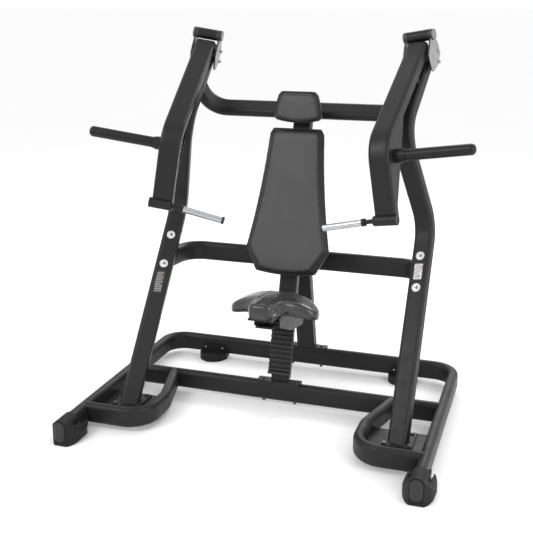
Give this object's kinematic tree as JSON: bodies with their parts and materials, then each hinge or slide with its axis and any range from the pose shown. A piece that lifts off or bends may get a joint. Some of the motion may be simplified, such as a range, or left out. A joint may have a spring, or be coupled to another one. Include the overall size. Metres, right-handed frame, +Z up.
{
  "type": "chest press machine",
  "caption": "Plate-loaded seated chest press frame with two independent swinging press arms, loading horns, back and head pads and a height-adjustable seat.",
  "frame": {"origin": "centre of the overall bounding box on the floor", "axes": "+Z up, the lifter faces -Y, +X is towards a viewer's right when looking at the front"},
  "size_m": [1.8028, 1.3326, 1.8196],
  "materials": {
    "black_powder_coat": "satin black powder coat",
    "cheek_grey": "light grey satin paint",
    "zinc_fasteners": "bright zinc plate",
    "polished_shaft": "ground steel",
    "grip_chrome": "polished chrome",
    "horn_black": "semi-gloss black",
    "foot_rubber": "matte black rubber",
    "black_plastic": "moulded black plastic",
    "bush_bronze": "sintered bronze",
    "pad_vinyl": "grained grey-black vinyl",
    "seat_vinyl": "glossy black vinyl",
    "badge_plastic": "printed label, plain",
    "board_black": "black moulded backing"
  },
  "bodies": {
    "frame": {"base_rail_tube": "black_powder_coat", "middle_cross_beam": "black_powder_coat", "right_loop_tube": "black_powder_coat", "left_loop_tube": "black_powder_coat", "right_upright": "black_powder_coat", "left_upright": "black_powder_coat", "right_floor_plate": "black_powder_coat", "left_floor_plate": "black_powder_coat", "upright_foot_bolts": "zinc_fasteners", "right_front_foot": "foot_rubber", "left_front_foot": "foot_rubber", "right_rear_foot": "foot_rubber", "left_rear_foot": "foot_rubber", "foot_screws": "zinc_fasteners", "middle_u_beam": "black_powder_coat", "upper_u_beam": "black_powder_coat", "centre_post": "black_powder_coat", "rear_column": "black_powder_coat", "post_brace": "black_powder_coat", "base_plate_bolts": "zinc_fasteners", "right_inner_pivot_cheek": "black_powder_coat", "left_inner_pivot_cheek": "black_powder_coat", "right_outer_pivot_cheek": "black_powder_coat", "left_outer_pivot_cheek": "black_powder_coat", "right_pivot_shaft": "polished_shaft", "left_pivot_shaft": "polished_shaft", "shaft_end_discs": "cheek_grey", "cheek_bolts": "zinc_fasteners", "upright_side_bolts": "zinc_fasteners", "seat_rack": "black_powder_coat", "back_cushion": "pad_vinyl", "back_board": "board_black", "head_cushion": "pad_vinyl", "head_board": "board_black", "arm_bumpers": "foot_rubber", "upright_badges": "badge_plastic"},
    "seat": {"seat_cushion": "seat_vinyl", "seat_pan": "black_powder_coat", "seat_carriage": "black_powder_coat"},
    "seat_release_lever": {"release_lever": "black_powder_coat"},
    "right_arm": {"right_arm_tube": "black_powder_coat", "right_arm_gusset": "black_powder_coat", "right_pivot_sleeve": "black_powder_coat", "right_pivot_bushes": "bush_bronze", "right_handle_barrel": "black_powder_coat", "right_handle_bar": "horn_black", "right_handle_grip": "grip_chrome", "right_grip_end_cap": "black_plastic", "right_weight_horn": "horn_black", "right_horn_collar": "black_powder_coat"},
    "left_arm": {"left_arm_tube": "black_powder_coat", "left_arm_gusset": "black_powder_coat", "left_pivot_sleeve": "black_powder_coat", "left_pivot_bushes": "bush_bronze", "left_handle_barrel": "black_powder_coat", "left_handle_bar": "horn_black", "left_handle_grip": "grip_chrome", "left_grip_end_cap": "black_plastic", "left_weight_horn": "horn_black", "left_horn_collar": "black_powder_coat"}
  },
  "joints": [
    {"name": "right_arm_swing", "type": "hinge", "parent": "frame", "child": "right_arm", "pos_m": [0.5425, 0.55914, 1.7816], "axis": [-0.966, 0.2018, -0.1616], "range_deg": [0, 50]},
    {"name": "left_arm_swing", "type": "hinge", "parent": "frame", "child": "left_arm", "pos_m": [-0.5425, 0.55914, 1.7816], "axis": [-0.966, -0.2018, 0.1616], "range_deg": [0, 50]},
    {"name": "seat_height", "type": "slide", "parent": "frame", "child": "seat", "axis": [0, 0.2759, 0.9612], "range_m": [-0.18, 0]},
    {"name": "release_lever_hinge", "type": "hinge", "parent": "seat", "child": "seat_release_lever", "pos_m": [0, -0.08126, 0.494], "axis": [-1, 0, 0], "range_deg": [0, 15], "stiffness_Nm_per_rad": 0.8, "springref_deg": -22.92}
  ]
}
